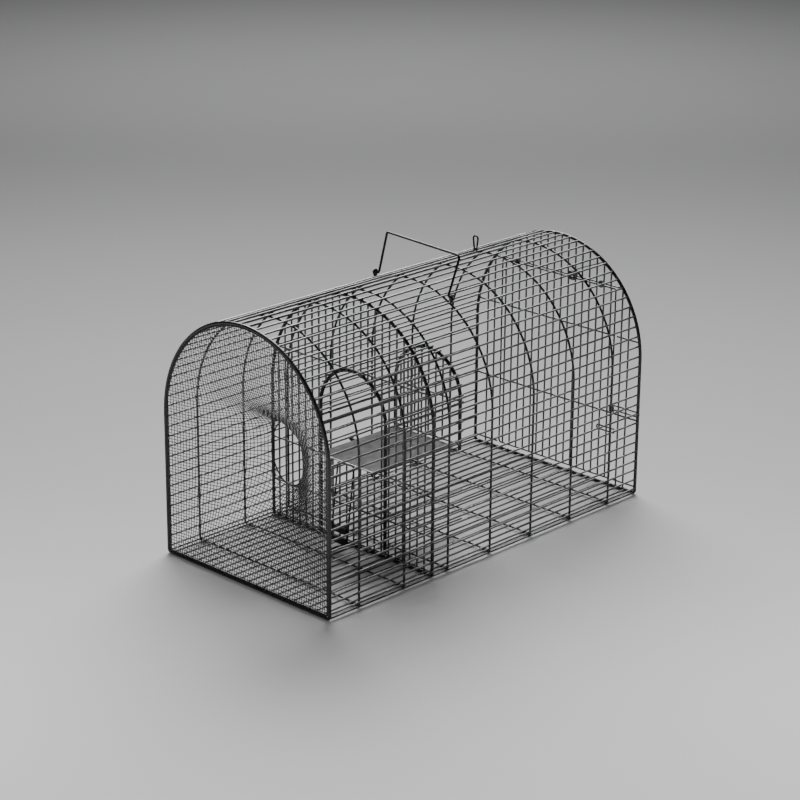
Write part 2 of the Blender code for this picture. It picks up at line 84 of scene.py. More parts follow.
# Wire sizes
THIN = 0.0016                       # lengthwise wires and grille bars, as in the CAD
THIN_COATED = 0.0020                # the same wires as drawn, with their coating
RIB_WIRE = 0.0024
FRAME_WIRE = 0.0036
CROSS_WIRE = 0.0020                 # laid across the floor beside each rib's feet
THROAT_WIRE = 0.0040
DOOR_WIRE = 0.0024
SLIM = 0.75                         # share of their CAD size: the door's outline and rail
RIM_SLIM = 0.65                     # the same, for the rim of the funnel's hole
MESH_WIRE = 0.0007
MESH_PITCH = 0.0033
GRID = 0.0102                       # spacing of the upright bars
KNEE_Z = 0.0435                     # cross wires of the partition
SILL_Z = 0.0915
LINTEL_Z = 0.195
REAR_CROSS_Z = (0.086, 0.176)       # cross wires of the rear wall and its door
REAR_STRIP = (0.0091, 0.0193)       # upright bars beside the door, from its edge
SINK = 0.00012                      # how far two welded wires run into each other
BITE = 0.0006                       # how far a wire's end runs into a hoop
SKIN_BITE = 0.0007                  # the same, where a lengthwise wire ends

FOOT_HOOK = 0.014                   # inward run at the foot of a rib
BEND = 0.0030                       # at the feet of a hoop and of the funnel's border
ARC_STEPS = 64

FLOOR_COUNT = 21                    # lengthwise wires in each part of the cage
WALL_COUNT = 14
ROOF_COUNT = 34
THROAT_SIDE_COUNT = 13
THROAT_ROOF_COUNT = 14

# Funnel of woven mesh
FUNNEL_Z = 0.128                    # height of the middle of its hole
FOLD_DEPTH = 0.008                  # where the flat outer part turns inwards
TUBE_START = 0.044
HOLE = (0.0265, 0.034, 0.036, 1.9, 1.9)     # half width, rise, drop, roundness of each
FOLD = (0.080, 0.063, 0.088, 5.0, 2.2)
BORDER_INSET = 0.0007
BORDER_WIRE = 0.0018

HANDLE_LEAN = radians(17)           # back from upright, at rest
HANDLE_SPLAY = 0.002
HANDLE_SHARE = 0.992                # of its CAD length, so that it stays inside the CAD's box

SMOOTH_ANGLE = radians(50)
X, Y, Z = Vector((1, 0, 0)), Vector((0, 1, 0)), Vector((0, 0, 1))


# ---------------------------------------------------------------- materials

PATCH_SCALE = 38                    # lighter and darker patches, per metre
WEAR_SCALE = 120                    # duller and shinier patches


def node(tree, kind, **inputs):
    made = tree.nodes.new(kind)
    for key, value in inputs.items():
        made.inputs[key].default_value = value
    return made


def noise_ramp(tree, coordinates, scale, stops, detail=4.0):
    """Outputs of a noise and of its colour ramp. Stops are (place, grey or colour)."""
    texture = node(tree, "ShaderNodeTexNoise", Scale=scale, Detail=detail, Roughness=0.6)
    ramp = tree.nodes.new("ShaderNodeValToRGB")
    for index, (place, colour) in enumerate(stops):
        if index < 2:
            stop = ramp.color_ramp.elements[index]
            stop.position = place
        else:
            stop = ramp.color_ramp.elements.new(place)
        shade = colour if isinstance(colour, tuple) else (colour,) * 3
        stop.color = (*shade, 1)
    tree.links.new(coordinates, texture.inputs["Vector"])
    tree.links.new(texture.outputs["Fac"], ramp.inputs["Fac"])
    return texture.outputs["Fac"], ramp.outputs["Color"]


def coated_metal(name, dark, light, rough, metallic, grain=900, bump=0.06, coat=0.0):
    """Coated metal: colour and roughness vary over centimetres, with a fine grain."""
    material = bpy.data.materials.new(name)
    material.use_nodes = True
    tree = material.node_tree
    shader = tree.nodes["Principled BSDF"]
    shader.inputs["Metallic"].default_value = metallic
    shader.inputs["Coat Weight"].default_value = coat
    shader.inputs["Coat Roughness"].default_value = 0.22
    place = tree.nodes.new("ShaderNodeTexCoord").outputs["Object"]
    tint = noise_ramp(tree, place, PATCH_SCALE, [(0.34, dark), (0.68, light)])[1]
    tree.links.new(tint, shader.inputs["Base Color"])
    wear = noise_ramp(tree, place, WEAR_SCALE, [(0.3, rough[0]), (0.7, rough[1])])[1]
    tree.links.new(wear, shader.inputs["Roughness"])
    grains = noise_ramp(tree, place, grain, [(0, 0.0), (1, 1.0)], detail=2)[0]
    relief = node(tree, "ShaderNodeBump", Strength=bump, Distance=0.0002)
    tree.links.new(grains, relief.inputs["Height"])
    tree.links.new(relief.outputs["Normal"], shader.inputs["Normal"])
    return material


def make_materials():
    return {
        "wire": coated_metal("wire_lacquer", (0.075, 0.075, 0.077), (0.150, 0.148, 0.145),
                             (0.24, 0.38), 0.8),
        "hoop": coated_metal("hoop_lacquer", (0.004, 0.004, 0.0045), (0.010, 0.010, 0.010),
                             (0.22, 0.34), 0.0, coat=0.12),
        "mesh": coated_metal("mesh_lacquer", (0.018, 0.018, 0.018), (0.042, 0.041, 0.040),
                             (0.32, 0.48), 0.5),
        "weld": coated_metal("weld_lacquer", (0.010, 0.010, 0.010), (0.030, 0.029, 0.028),
                             (0.38, 0.60), 0.3, bump=0.25),
        "sheet": coated_metal("sheet_steel", (0.020, 0.020, 0.0205), (0.045, 0.044, 0.043),
                              (0.55, 0.72), 0.25, grain=400, bump=0.12),
        "weight": coated_metal("weight_iron", (0.004, 0.004, 0.004), (0.012, 0.012, 0.012),
                               (0.55, 0.75), 0.0, grain=500, bump=0.35),
        "bare": coated_metal("bare_steel", (0.42, 0.42, 0.43), (0.58, 0.575, 0.57),
                             (0.22, 0.38), 0.9),
        "spring": coated_metal("spring_steel", (0.05, 0.05, 0.052), (0.12, 0.12, 0.12),
                               (0.25, 0.40), 0.9),
    }


# ---------------------------------------------------------------- wire work

def bead():
    """Corners and faces of a small round bead of radius 1."""
    bm = bmesh.new()
    bmesh.ops.create_icosphere(bm, subdivisions=1, radius=1)
    corners = np.array([vert.co for vert in bm.verts])
    faces = [[vert.index for vert in face.verts] for face in bm.faces]
    bm.free()
    return corners, faces


BEAD_CORNERS, BEAD_FACES = bead()


class Piece:
    """Gathers wires, weld beads and sheets, then becomes one object on a body."""

    def __init__(self, name, materials):
        self.name = name
        self.materials = materials
        self.corners = []
        self.faces = []
        self.slots = []
        self.count = 0

    def add(self, corners, faces, slot=0):
        self.corners.append(np.asarray(corners, float).reshape(-1, 3))
        self.faces += [[index + self.count for index in face] for face in faces]
        self.slots += [slot] * len(faces)
        self.count += len(self.corners[-1])

    def wire(self, points, diameter, sides=12, closed=False, slot=0):
        points = np.asarray([tuple(point) for point in points], float)
        count = len(points)
        ahead = np.roll(points, -1, 0) - points
        behind = np.roll(ahead, 1, 0)
        if not closed:
            ahead[-1], behind[0] = behind[-1], ahead[0]
        ahead /= np.linalg.norm(ahead, axis=1)[:, None]
        behind /= np.linalg.norm(behind, axis=1)[:, None]
        tangents = ahead + behind
        tangents /= np.linalg.norm(tangents, axis=1)[:, None]
        side = np.cross(tangents[0], (0.31, 0.52, 0.79))
        sides_at = []
        for tangent in tangents:
            side = side - tangent * side.dot(tangent)
            side /= np.linalg.norm(side)
            sides_at.append(side.copy())
        sides_at = np.array(sides_at)
        others = np.cross(tangents, sides_at)
        twist = 0.0
        if closed:
            last = sides_at[-1] - tangents[0] * sides_at[-1].dot(tangents[0])
            twist = atan2(last.dot(others[0]), last.dot(sides_at[0]))
        angles = np.arange(sides) * 2 * pi / sides
        rings = np.zeros((count, sides, 3))
        for index in range(count):
            turned = angles - twist * index / count
            rings[index] = points[index] + diameter / 2 * (
                np.cos(turned)[:, None] * sides_at[index]
                + np.sin(turned)[:, None] * others[index])
        faces = []
        for index in range(count if closed else count - 1):
            low, high = index * sides, (index + 1) % count * sides
            for step in range(sides):
                after = (step + 1) % sides
                faces.append((low + step, low + after, high + after, high + step))
        if not closed:
            faces.append(tuple(range(sides))[::-1])
            faces.append(tuple((count - 1) * sides + step for step in range(sides)))
        self.add(rings, faces, slot)

    def weld(self, point, size, slot=1):
        """A lumpy bead where two wires are joined."""
        lump = 1 + 0.18 * noise.noise(Vector(point) * 900)
        self.add(np.asarray(point) + BEAD_CORNERS * size / 2 * lump, BEAD_FACES, slot)

    def done(self, body, *nodes):
        mesh = bpy.data.meshes.new(self.name)
        mesh.from_pydata(np.concatenate(self.corners).tolist(), [], self.faces)
        for material in self.materials:
            mesh.materials.append(material)
        mesh.polygons.foreach_set("material_index", self.slots)
        mesh.shade_smooth()
        mesh.set_sharp_from_angle(angle=SMOOTH_ANGLE)
        mesh.validate()
        item = bpy.data.objects.new(self.name, mesh)
        bpy.context.scene.collection.objects.link(item)
        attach(item, body)
        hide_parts(*nodes)
        return item


def arc(centre_a, centre_b, radius, start, end, steps):
    turn = (end - start) / steps
    return [(centre_a + radius * cos(start + turn * step),
             centre_b + radius * sin(start + turn * step)) for step in range(steps + 1)]


def at_y(outline, y):
    return [(x, y, z) for x, z in outline]


def jitter(seed, amount):
    """A repeatable offset between -amount and +amount."""
    return amount * noise.noise(Vector((seed * 1.37, seed * 0.71 + 5, 9.3))) * 1.6


def middle(name):
    low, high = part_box(name)
    return (low + high) / 2


class Arch:
    """Outline facts of one hoop node: a round top on straight sides."""

    def __init__(self, name, wire):
        low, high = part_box(name)
        self.name = name
        self.wire = wire
        self.y = (low.y + high.y) / 2
        self.edge = high.x
        self.bottom = low.z
        self.spring = high.z - high.x
        self.radius = self.edge - wire / 2

    def under(self, x):
        """Height of the wire's underside at x."""
        return self.spring + sqrt(max((self.edge - self.wire) ** 2 - x * x, 0))

    def reach(self, z):
        """Half width between the wire's inner sides at height z."""
        rise = max(z - self.spring, 0)
        return sqrt((self.edge - self.wire) ** 2 - rise * rise)


# ---------------------------------------------------------------- the cage

def closed_hoop(arch, materials):
    piece = Piece(f"{arch.name}_wire", [materials["hoop"], materials["weld"]])
    foot = arch.bottom + arch.wire / 2
    inset = arch.radius - BEND
    outline = arc(inset, foot + BEND, BEND, -pi / 2, 0, 6)
    outline += arc(0, arch.spring, arch.radius, 0, pi, ARC_STEPS)
    outline += arc(-inset, foot + BEND, BEND, pi, 3 * pi / 2, 6)
    piece.wire(at_y(outline, arch.y), arch.wire, 16, closed=True)
    piece.weld((arch.radius * 0.62, arch.y, foot + 0.0004), arch.wire * 0.98)
    piece.done("cage", arch.name)


def hooked_rib(arch, materials):
    """A rib whose feet turn inwards, lying beside a wire across the floor."""
    piece = Piece(f"{arch.name}_wire", [materials["hoop"], materials["weld"]])
    foot = arch.bottom + arch.wire / 2
    inset = arch.radius - BEND
    tip = arch.radius - FOOT_HOOK
    outline = [(tip, foot)] + arc(inset, foot + BEND, BEND, -pi / 2, 0, 6)
    outline += arc(0, arch.spring, arch.radius, 0, pi, ARC_STEPS)
    outline += arc(-inset, foot + BEND, BEND, pi, 3 * pi / 2, 6) + [(-tip, foot)]
    piece.wire(at_y(outline, arch.y), arch.wire, 14)
    beside = arch.y + (arch.wire + CROSS_WIRE) / 2 - SINK
    level = arch.bottom + arch.wire - CROSS_WIRE / 2
    half = arch.edge - 0.0010
    piece.wire([(-half, beside, level), (0, beside, level - 0.0002), (half, beside, level)],
               CROSS_WIRE, 10)
    for side in (-1, 1):
        piece.weld((side * (tip + 0.002), beside - CROSS_WIRE / 2, level), CROSS_WIRE * 1.3)
    piece.done("cage", arch.name)


def long_wire(piece, place, outward, stations, seed, ends, slot=0):
    """A lengthwise wire, welded at each station and a little slack between them."""
    across = Vector((-outward.z, 0, outward.x))
    ys = sorted(set([ends[0]] + list(stations) + list(ends[1:])
                    + [(a + b) / 2 for a, b in zip(stations, stations[1:])]))
    points = []
    for step, y in enumerate(ys):
        loose = 0 if y in stations else 1
        push = outward * jitter(seed * 3.1 + step * 0.9, 0.00022) * loose
        slide = across * (jitter(seed * 7.7, 0.00035) + jitter(seed + step * 2.3, 0.00025))
        points.append(place + Y * y + push + slide)
    piece.wire(points, THIN_COATED, 10, slot=slot)
    return {y: point for y, point in zip(ys, points)}


def skin(materials, hoops, pitch):
    """Lengthwise wires on the outside of the hoops."""
    stations = [hoop.y for hoop in hoops[1:-1]]
    front, rear = hoops[0], hoops[-1]
    radius = hoops[1].edge + THIN / 2 - SINK
    mats = [materials["wire"], materials["weld"], materials["hoop"]]
    for name, side in (("left_wall_wires", -1), ("right_wall_wires", 1)):
        low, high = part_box(name)
        piece = Piece(f"{name}_round", mats)
        outward = X * side
        place = Vector((side * radius, 0, low.z + THIN / 2))
        run_skin_wire(piece, place, outward, stations, 18 * side, front, rear, 2)
        for index in range(WALL_COUNT):
            place = Vector((side * radius, 0, high.z - THIN / 2 - pitch * index))
            run_skin_wire(piece, place, outward, stations, index + 20 * side, front, rear)
        piece.done("cage", name)
    low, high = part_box("roof_wires")
    piece = Piece("roof_wires_round", mats)
    for index in range(ROOF_COUNT):
        angle = pi * (index + 0.5) / ROOF_COUNT
        outward = Vector((cos(angle), 0, sin(angle)))
        place = outward * radius + Z * front.spring
        run_skin_wire(piece, place, outward, stations, index + 60, front, rear)
    piece.done("cage", "roof_wires")


def run_skin_wire(piece, place, outward, stations, seed, front, rear, slot=0):
    start = front.y + front.wire / 2 - SKIN_BITE
    stop = rear.y - rear.wire / 2 + SKIN_BITE
    spots = long_wire(piece, place, outward, stations, seed, (start, stop), slot)
    for y in stations:
        piece.weld(spots[y] - outward * THIN * 0.42, THIN * 1.35)
    for y in (start, stop):
        piece.weld(spots[y] - outward * THIN * 0.3, THIN * 1.4)


def floor(materials, hoops):
    low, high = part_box("floor_wires")
    piece = Piece("floor_wires_round", [materials["wire"], materials["weld"]])
    pitch = (high.x - low.x - THIN) / (FLOOR_COUNT - 1)
    level = max(hoop.bottom + hoop.wire for hoop in hoops) + THIN / 2 - SINK
    stations = [hoop.y for hoop in hoops[1:-1]]
    for index in range(FLOOR_COUNT):
        place = Vector((low.x + THIN / 2 + pitch * index, 0, level))
        spots = long_wire(piece, place, Z, stations, index + 130, (low.y, high.y))
        for y in stations:
            piece.weld(spots[y] - Z * THIN * 0.42, THIN * 1.35)
    piece.done("cage", "floor_wires")


def bar(piece, x, y, low, high, seed, diameter=THIN_COATED):
    """A vertical grille bar, very slightly bowed."""
    bow = jitter(seed * 2.3, 0.0003)
    steps = 5
    points = []
    for step in range(steps + 1):
        share = step / steps
        points.append((x + bow * sin(pi * share), y, low + (high - low) * share))
    piece.wire(points, diameter, 10)


def bar_places(first, last):
    return [side * (index + 0.5) * GRID for index in range(first, last + 1)
            for side in (-1, 1)]


def cross_wire(piece, left, right, y, z, diameter=THIN_COATED, slot=0):
    piece.wire([(left, y, z), ((left + right) / 2, y, z - 0.0002), (right, y, z)],
               diameter, 10, slot=slot)


def partition(materials, arch, throat_radius, throat_spring):
    piece = Piece("partition_grille_round", [materials["wire"], materials["weld"]])
    foot = arch.bottom + arch.wire - 0.0008
    before, behind = arch.y - THIN * 0.45, arch.y + THIN * 0.45
    heights = [foot + 0.0022, KNEE_Z, SILL_Z, LINTEL_Z]
    for z in heights:
        reach = arch.reach(z) + BITE
        cross_wire(piece, -reach, reach, behind, z)
        for side in (-1, 1):
            piece.weld((side * reach, behind, z), THIN * 1.5)
    for x in bar_places(0, 10):
        inside = abs(x) < throat_radius - THIN
        top = arch.under(x) + BITE
        if inside:
            lift = throat_spring + sqrt(throat_radius ** 2 - x * x)
            bar(piece, x, before, foot, SILL_Z + 0.0012, x * 900)
            bar(piece, x, before, lift, top, x * 700 + 3)
        else:
            bar(piece, x, before, foot, top, x * 900)
        piece.weld((x, before, top), THIN * 1.35)
        piece.weld((x, before, foot + 0.0004), THIN * 1.35)
        for z in heights[1:]:
            piece.weld((x, arch.y, z), THIN * 1.25)
    piece.done("cage", "partition_grille")


def throat(materials):
    """The arched passage behind the partition's window."""
    mats = [materials["hoop"], materials["weld"]]
    for name in ("throat_front_arch", "throat_rear_arch"):
        low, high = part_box(name)
        y = (low.y + high.y) / 2
        radius = high.x - THROAT_WIRE / 2
        spring = high.z - high.x
        piece = Piece(f"{name}_round", mats)
        outline = [(radius, low.z)] + arc(0, spring, radius, 0, pi, 40) + [(-radius, low.z)]
        piece.wire(at_y(outline, y), THROAT_WIRE, 14)
        for side in (-1, 1):
            piece.weld((side * radius, y, low.z + 0.0006), THROAT_WIRE * 1.2)
        piece.done("cage", name)
    mats = [materials["wire"], materials["weld"]]
    low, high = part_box("throat_roof_wires")
    ends = (low.y, high.y)
    stations = (middle("throat_front_arch").y, middle("throat_rear_arch").y)
    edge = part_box("throat_front_arch")[1].x + THIN / 2 - SINK
    for name, side in (("throat_left_wires", -1), ("throat_right_wires", 1)):
        bottom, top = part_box(name)
        step = (top.z - bottom.z - THIN) / (THROAT_SIDE_COUNT - 1)
        piece = Piece(f"{name}_round", mats)
        for index in range(THROAT_SIDE_COUNT):
            place = Vector((side * edge, 0, bottom.z + THIN / 2 + step * index))
            spots = long_wire(piece, place, X * side, stations, index + 200 + side, ends)
            for y in stations:
                piece.weld(spots[y] - X * side * THIN * 0.42, THIN * 1.3)
        piece.done("cage", name)
    piece = Piece("throat_roof_wires_round", mats)
    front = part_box("throat_front_arch")[1]
    spring = front.z - front.x
    for index in range(THROAT_ROOF_COUNT):
        angle = pi * (index + 0.5) / THROAT_ROOF_COUNT
        outward = Vector((cos(angle), 0, sin(angle)))
        place = outward * edge + Z * spring
        spots = long_wire(piece, place, outward, stations, index + 240, ends)
        for y in stations:
            piece.weld(spots[y] - outward * THIN * 0.42, THIN * 1.3)
    piece.done("cage", "throat_roof_wires")

    low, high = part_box("throat_rear_grille")
    y = (low.y + high.y) / 2
    radius = front.x - THROAT_WIRE / 2
    piece = Piece("throat_rear_grille_round", mats)
    for x in bar_places(0, 3):
        bar(piece, x, y - THIN * 0.4, low.z, spring + sqrt(radius ** 2 - x * x) + 0.001, x * 800)
    for z in (low.z + THIN / 2, spring):
        cross_wire(piece, low.x, high.x, y + THIN * 0.4, z)
        for x in bar_places(0, 3):
            piece.weld((x, y, z), THIN * 1.25)
    piece.done("cage", "throat_rear_grille")


# ---------------------------------------------------------------- plate and weights

def lathe(piece, centre, axis, profile, sides=28, slot=0):
    """Turn (along, radius) points about an axis through `centre`, closed on itself."""
    across = axis.orthogonal().normalized()
    other = axis.cross(across)
    corners, faces = [], []
    for along, radius in profile:
        for step in range(sides):
            angle = 2 * pi * step / sides
            spoke = (across * cos(angle) + other * sin(angle)) * radius
            corners.append(Vector(centre) + axis * along + spoke)
    count = len(profile)
    for index in range(count):
        low, high = index * sides, (index + 1) % count * sides
        for step in range(sides):
            after = (step + 1) % sides
            faces.append((low + step, low + after, high + after, high + step))
    piece.add([tuple(corner) for corner in corners], faces, slot)


def tilting_plate(materials):
    low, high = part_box("tilt_plate")
    rod_low, rod_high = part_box("pivot_rod")
    rod = (rod_low + rod_high) / 2
    rod_wire = rod_high.z - rod_low.z
    piece = Piece("pivot_rod_round", [materials["spring"], materials["weld"]])
    piece.wire([(rod_low.x, rod.y, rod.z), (0, rod.y, rod.z), (rod_high.x, rod.y, rod.z)],
               rod_wire, 14)
    for side in (-1, 1):
        collar = [(-0.001, rod_wire * 0.5), (-0.001, rod_wire * 0.95),
                  (0.001, rod_wire * 0.95), (0.001, rod_wire * 0.5)]
        lathe(piece, (side * (rod_high.x - 0.003), rod.y, rod.z), X, collar)
    piece.done("cage", "pivot_rod")

    piece = Piece("tilt_plate_sheet", [materials["sheet"], materials["bare"]])
    thick, flange, corner = 0.0007, 0.0026, 0.0012
    top = high.z - 0.0003
    left, right = low.x + 0.0004, high.x - 0.0004
    profile = [(left, top - flange), (left, top - corner)]
    profile += arc(left + corner, top - corner, corner, pi, pi / 2, 4)
    profile += arc(right - corner, top - corner, corner, pi / 2, 0, 4)
    profile += [(right, top - flange)]
    front, back = low.y + 0.0012, high.y - 0.0002
    ys = np.linspace(front, back, 14)
    corners, faces = [], []
    for layer in (0, thick):
        for y in ys:
            for x, z in profile:
                squeeze = (right - layer) / right
                sag = 0.0004 * noise.noise(Vector((x * 40, y * 40, 3)))
                corners.append((x * squeeze, y, min(z, z - layer) + sag))
    across, rows = len(profile), len(ys)
    shift = across * rows
    for row in range(rows - 1):
        for step in range(across - 1):
            a = row * across + step
            b = a + across
            faces.append((a, a + 1, b + 1, b))
            faces.append((shift + a, shift + b, shift + b + 1, shift + a + 1))
        a, b = row * across, row * across + across
        faces.append((a, b, shift + b, shift + a))
        a, b = a + across - 1, b + across - 1
        faces.append((a, shift + a, shift + b, b))
    last = (rows - 1) * across
    for step in range(across - 1):
        a, b = step, step + 1
        faces.append((a, shift + a, shift + b, b))
        faces.append((last + a, last + b, shift + last + b, shift + last + a))
    piece.add(corners, faces)
    lip = 0.0008
    lip_y = low.y + lip
    piece.wire([(left - 0.0002, lip_y, top - lip), (0, lip_y, top - lip),
                (right + 0.0002, lip_y, top - lip)], lip * 2, 12, slot=1)
    lug = [(-0.004, 0.0016), (-0.004, 0.0023), (-0.0036, 0.0025), (0.0036, 0.0025),
           (0.004, 0.0023), (0.004, 0.0016)]
    lathe(piece, (-0.030, rod.y, rod.z), X, lug, 20)
    start, length, radius, steps = 0.0222, 0.0076, 0.0021, 64
    coil = [(start + length * step / steps, rod.y + radius * cos(step * pi / 8),
             rod.z + radius * sin(step * pi / 8)) for step in range(steps + 1)]
    piece.wire(coil, 0.0010, 10, slot=1)
    piece.done("plate", "tilt_plate")

    weight_wire = 0.0020
    arm_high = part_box("counterweight_arm")[1]
    upper, lower = middle("counterweight_upper"), middle("counterweight_lower")
    half = arm_high.x - weight_wire / 2
    top_y = arm_high.y - 0.0012
    top_z = arm_high.z - 0.0012
    piece = Piece("counterweight_arm_round", [materials["hoop"], materials["weld"]])
    bend = 0.002
    path = [(half - bend, top_y, top_z), (half, top_y - 0.0004, top_z - bend),
            (half, lower.y, lower.z + bend), (half - bend, lower.y, lower.z),
            (bend - half, lower.y, lower.z), (-half, lower.y, lower.z + bend),
            (-half, top_y - 0.0004, top_z - bend), (bend - half, top_y, top_z)]
    piece.wire(path, weight_wire, 12, closed=True)
    piece.wire([(-half, upper.y, upper.z), (0, upper.y, upper.z), (half, upper.y, upper.z)],
               weight_wire, 12)
    for side in (-1, 1):
        piece.weld((side * half, upper.y, upper.z), weight_wire * 1.3)
    piece.done("plate", "counterweight_arm")
    for name, centre in (("counterweight_upper", upper), ("counterweight_lower", lower)):
        low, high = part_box(name)
        length, radius = (high.x - low.x) / 2, (high.z - low.z) / 2
        chamfer = radius * 0.16
        bore = weight_wire / 2 + 0.0002
        profile = [(-length, bore), (-length, radius - chamfer),
                   (-length + chamfer * 0.35, radius - chamfer * 0.35),
                   (-length + chamfer, radius), (length - chamfer, radius),
                   (length - chamfer * 0.35, radius - chamfer * 0.35),
                   (length, radius - chamfer), (length, bore)]
        piece = Piece(f"{name}_round", [materials["weight"]])
        lathe(piece, centre, X, profile)
        piece.done("plate", name)


# ---------------------------------------------------------------- woven funnel

def egg_reach(turn, half, up, down, round_up, round_down):
    """How far an egg-shaped outline is from its middle at each angle."""
    rise = np.sin(turn)
    tall = np.where(rise >= 0, up, down)
    power = np.where(rise >= 0, round_up, round_down)
    return (np.abs(np.cos(turn) / half) ** power + np.abs(rise / tall) ** power) ** (-1 / power)


class Funnel:
    """A sheet drawn inwards from an arched mouth, over a soft fold, to its hole."""

    def __init__(self):
        low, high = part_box("entry_funnel")
        self.start = low.y
        self.deep = high.y - low.y
        self.half = high.x
        self.bottom = low.z - FUNNEL_Z
        self.spring = high.z - high.x - FUNNEL_Z

    def mouth_reach(self, turn):
        across, rise = np.maximum(np.abs(np.cos(turn)), 1e-9), np.sin(turn)
        side = self.half / across
        top = rise * self.spring + np.sqrt(self.half ** 2 - (self.spring * across) ** 2)
        floor = self.bottom / np.minimum(rise, -1e-9)
        level = side * rise
        return np.where(level > self.spring, top, np.where(level < self.bottom, floor, side))

    def section(self, turn, share):
        """Distance from the axis and depth, along a curve that is drawn to the fold."""
        rest = 1 - share
        hole = egg_reach(turn, *HOLE)
        near_fold = 4 * rest ** 3 * share + 6 * rest ** 2 * share ** 2
        reach = (rest ** 4 * self.mouth_reach(turn) + near_fold * egg_reach(turn, *FOLD)
                 + 4 * rest * share ** 3 * (hole + 0.002) + share ** 4 * hole)
        depth = (near_fold * FOLD_DEPTH + 4 * rest * share ** 3 * TUBE_START
                 + share ** 4 * self.deep)
        return reach, depth

    def point(self, turn, share):
        reach, depth = self.section(turn, share)
        return np.stack([reach * np.cos(turn), self.start + depth,
                         FUNNEL_Z + reach * np.sin(turn)], -1)

    def in_sheet(self, x, z):
        """Angle of a spot in the flat sheet, and how far in it is: 0 mouth, 1 hole."""
        turn = np.arctan2(z - FUNNEL_Z, x)
        mouth = self.mouth_reach(turn)
        core = egg_reach(turn, *HOLE) * 0.5
        return turn, (mouth - np.hypot(x, z - FUNNEL_Z)) / (mouth - core)

    def place(self, x, z, lift):
        """Spots of the flat sheet drawn into shape, and moved off it by `lift`."""
        turn, inward = self.in_sheet(x, z)
        steps = np.linspace(0, 1, 49)
        reach, depth = self.section(turn[:, None], steps[None, :])
        runs = np.hypot(np.diff(reach, axis=1), np.diff(depth, axis=1))
        along = np.concatenate([np.zeros((len(turn), 1)), np.cumsum(runs, axis=1)], axis=1)
        share = np.array([np.interp(part * row[-1], row, steps)
                          for part, row in zip(inward, along)])
        ahead = self.point(turn, np.minimum(share + 0.004, 1)) - self.point(
            turn, np.maximum(share - 0.004, 0))
        round_it = self.point(turn + 0.004, share) - self.point(turn - 0.004, share)
        normal = np.cross(ahead, round_it)
        normal /= np.linalg.norm(normal, axis=1)[:, None]
        return self.point(turn, share) + normal * lift[:, None]


def woven_funnel(materials):
    funnel = Funnel()
    piece = Piece("entry_funnel_woven", [materials["mesh"], materials["hoop"]])
    low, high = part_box("entry_funnel")
    lift = MESH_WIRE * 0.5
    columns = int(high.x / MESH_PITCH)
    rows = int((high.z - low.z) / MESH_PITCH)
    xs = np.arange(-columns, columns + 1) * MESH_PITCH
    zs = low.z + 0.0012 + np.arange(rows + 1) * MESH_PITCH
    for lines, others, upright in ((xs, zs, True), (zs, xs, False)):
        for line, fixed in enumerate(lines):
            fine = np.linspace(others[0] - MESH_PITCH, others[-1] + MESH_PITCH, 1200)
            held = np.full_like(fine, fixed)
            x, z = (held, fine) if upright else (fine, held)
            inward = funnel.in_sheet(x, z)[1]
            inside = (inward > 0) & (inward < 1)
            edges = np.flatnonzero(np.diff(inside.astype(int)))
            stops = [0, *(edges + 1), len(fine)]
            for first, last in zip(stops, stops[1:]):
                if not inside[first] or last - first < 4:
                    continue
                begin, end = fine[first], fine[last - 1]
                marks = [mark for mark in range(len(others))
                         if begin + 0.0006 < others[mark] < end - 0.0006]
                along = np.array([begin] + [others[mark] for mark in marks] + [end])
                signs = np.array([0.0] + [1.0 if (mark + line) % 2 else -1.0
                                          for mark in marks] + [0.0])
                if not upright:
                    signs = -signs
                held = np.full_like(along, fixed)
                x, z = (held, along) if upright else (along, held)
                piece.wire(funnel.place(x, z, signs * lift), MESH_WIRE, 4)
    half = funnel.half + BORDER_INSET
    foot = low.z - BORDER_INSET + BEND
    border = arc(half - BEND, foot, BEND, -pi / 2, 0, 4)
    border += arc(0, high.z - high.x, half, 0, pi, ARC_STEPS)
    border += arc(BEND - half, foot, BEND, pi, 3 * pi / 2, 4)
    piece.wire(at_y(border, funnel.start), BORDER_WIRE, 8, closed=True, slot=1)
    piece.done("cage", "entry_funnel")

    rim_low, rim_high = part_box("funnel_rim")
    wire = rim_high.y - rim_low.y
    turn = np.arange(64) * 2 * pi / 64
    reach = egg_reach(turn, *HOLE)
    outline = [(r * cos(t), FUNNEL_Z + r * sin(t)) for r, t in zip(reach, turn)]
    piece = Piece("funnel_rim_round", [materials["mesh"]])
    piece.wire(at_y(outline, (rim_low.y + rim_high.y) / 2 - 0.0004), wire * RIM_SLIM, 12,
               closed=True)
    piece.done("cage", "funnel_rim")


# ---------------------------------------------------------------- rear wall and door

